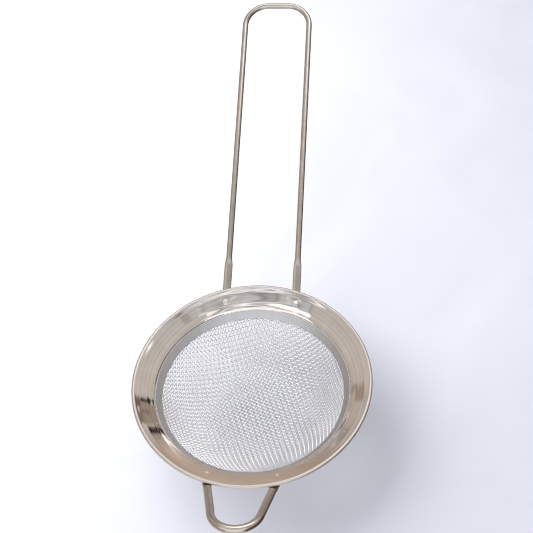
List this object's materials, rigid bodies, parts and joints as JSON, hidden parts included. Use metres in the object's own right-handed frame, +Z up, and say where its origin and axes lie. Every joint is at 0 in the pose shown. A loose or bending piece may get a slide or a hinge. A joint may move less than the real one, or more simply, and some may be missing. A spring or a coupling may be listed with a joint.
{
  "type": "tea strainer",
  "caption": "Small round strainer: conical flange with rolled bead, woven wire cloth bowl in a folded binding ring, hairpin wire handle and a short wire rest.",
  "frame": {"origin": "centre of the rim, in the plane of the rolled bead's centre", "axes": "+Z up out of the bowl's mouth; +Y toward the handle; the short rest points to -Y"},
  "size_m": [0.075, 0.1942, 0.0604],
  "materials": {
    "polished_steel": "polished stainless sheet",
    "satin_steel": "satin rolled stainless strip",
    "wire_cloth": "bright drawn stainless wire, plain weave",
    "bright_wire": "bright drawn stainless wire",
    "weld_metal": "dull spot weld"
  },
  "bodies": {
    "root": {"rim_band": "polished_steel", "binding_ring": "satin_steel", "mesh_bowl": "wire_cloth", "handle_wire": "bright_wire", "rest_wire": "bright_wire", "handle_spot_welds": "weld_metal", "rest_spot_welds": "weld_metal"}
  },
  "joints": []
}
